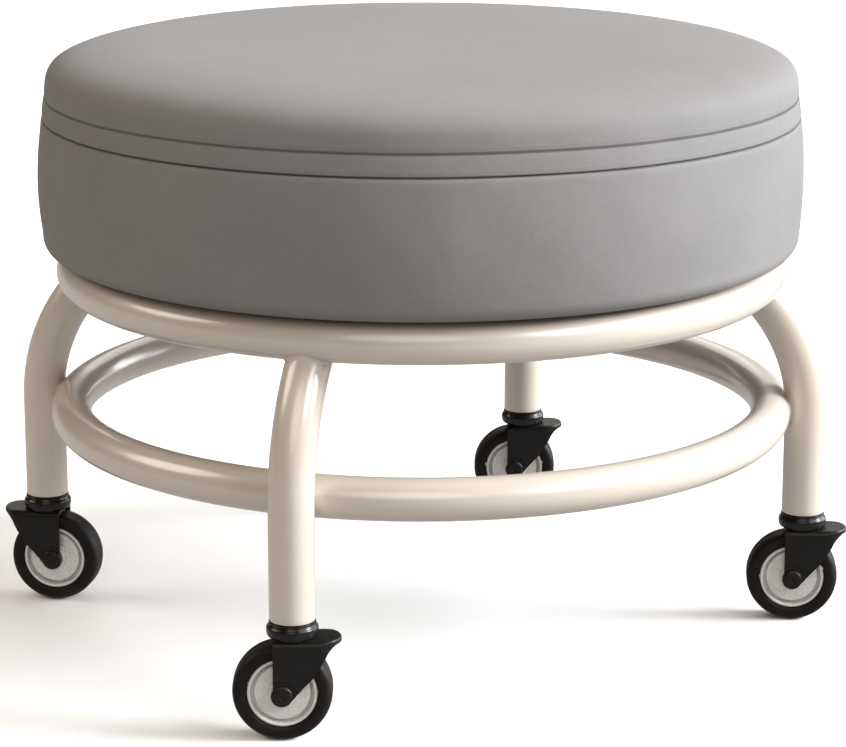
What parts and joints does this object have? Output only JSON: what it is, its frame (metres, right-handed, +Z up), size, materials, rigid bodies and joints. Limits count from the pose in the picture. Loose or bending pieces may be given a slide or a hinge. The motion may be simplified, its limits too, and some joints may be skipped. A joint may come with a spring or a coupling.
{
  "type": "rolling stool",
  "caption": "Low round upholstered stool on two tubular steel rings and bent tube legs with small swivel casters.",
  "frame": {"origin": "on the floor under the middle of the seat", "axes": "+Z up, X along the longer side of the rectangle of legs, -Y towards the front pair of legs"},
  "size_m": [0.3412, 0.3412, 0.2673],
  "materials": {
    "paint": "gloss",
    "leather": "satin",
    "foam": "matte",
    "plywood": "matte",
    "dust_cloth": "matte",
    "zinc": "satin",
    "fork_black": "satin",
    "race_black": "gloss",
    "socket_black": "matte",
    "tyre": "matte",
    "rim": "satin"
  },
  "bodies": {
    "frame": {"upper_ring": "paint", "lower_ring": "paint", "leg_front_left": "paint", "leg_front_right": "paint", "leg_back_right": "paint", "leg_back_left": "paint", "cover_top_panel": "leather", "cover_welt_band": "leather", "cover_side_panel": "leather", "cover_hem": "leather", "seat_foam": "foam", "seat_board": "plywood", "dust_cloth": "dust_cloth", "seat_tab_right": "paint", "seat_screw_right": "zinc", "seat_tab_back": "paint", "seat_screw_back": "zinc", "seat_tab_left": "paint", "seat_screw_left": "zinc", "seat_tab_front": "paint", "seat_screw_front": "zinc", "leg_socket_front_left": "socket_black", "caster_stem_front_left": "zinc", "race_cap_front_left": "race_black", "leg_socket_front_right": "socket_black", "caster_stem_front_right": "zinc", "race_cap_front_right": "race_black", "leg_socket_back_right": "socket_black", "caster_stem_back_right": "zinc", "race_cap_back_right": "race_black", "leg_socket_back_left": "socket_black", "caster_stem_back_left": "zinc", "race_cap_back_left": "race_black"},
    "caster_fork_front_left": {"ball_ring_front_left": "zinc", "fork_front_left": "fork_black", "axle_rivet_front_left": "fork_black", "axle_bush_front_left": "zinc"},
    "caster_wheel_front_left": {"rim_front_left": "rim", "tyre_front_left": "tyre"},
    "caster_fork_front_right": {"ball_ring_front_right": "zinc", "fork_front_right": "fork_black", "axle_rivet_front_right": "fork_black", "axle_bush_front_right": "zinc"},
    "caster_wheel_front_right": {"rim_front_right": "rim", "tyre_front_right": "tyre"},
    "caster_fork_back_right": {"ball_ring_back_right": "zinc", "fork_back_right": "fork_black", "axle_rivet_back_right": "fork_black", "axle_bush_back_right": "zinc"},
    "caster_wheel_back_right": {"rim_back_right": "rim", "tyre_back_right": "tyre"},
    "caster_fork_back_left": {"ball_ring_back_left": "zinc", "fork_back_left": "fork_black", "axle_rivet_back_left": "fork_black", "axle_bush_back_left": "zinc"},
    "caster_wheel_back_left": {"rim_back_left": "rim", "tyre_back_left": "tyre"}
  },
  "joints": [
    {"name": "swivel_front_left", "type": "hinge", "parent": "frame", "child": "caster_fork_front_left", "pos_m": [-0.13617, -0.10929, 0.0435], "axis": [0, 0, 1], "continuous": true},
    {"name": "wheel_front_left", "type": "hinge", "parent": "caster_fork_front_left", "child": "caster_wheel_front_left", "pos_m": [-0.13966, -0.10695, 0.0206], "axis": [0.5563, 0.831, 0], "continuous": true},
    {"name": "swivel_front_right", "type": "hinge", "parent": "frame", "child": "caster_fork_front_right", "pos_m": [0.13617, -0.10929, 0.0435], "axis": [0, 0, 1], "continuous": true},
    {"name": "wheel_front_right", "type": "hinge", "parent": "caster_fork_front_right", "child": "caster_wheel_front_right", "pos_m": [0.13288, -0.10667, 0.0206], "axis": [0.6225, 0.7826, 0], "continuous": true},
    {"name": "swivel_back_right", "type": "hinge", "parent": "frame", "child": "caster_fork_back_right", "pos_m": [0.13617, 0.10929, 0.0435], "axis": [0, 0, 1], "continuous": true},
    {"name": "wheel_back_right", "type": "hinge", "parent": "caster_fork_back_right", "child": "caster_wheel_back_right", "pos_m": [0.13273, 0.1117, 0.0206], "axis": [0.5736, 0.8192, 0], "continuous": true},
    {"name": "swivel_back_left", "type": "hinge", "parent": "frame", "child": "caster_fork_back_left", "pos_m": [-0.13617, 0.10929, 0.0435], "axis": [0, 0, 1], "continuous": true},
    {"name": "wheel_back_left", "type": "hinge", "parent": "caster_fork_back_left", "child": "caster_wheel_back_left", "pos_m": [-0.13315, 0.10637, 0.0206], "axis": [-0.6947, -0.7193, 0], "continuous": true}
  ]
}
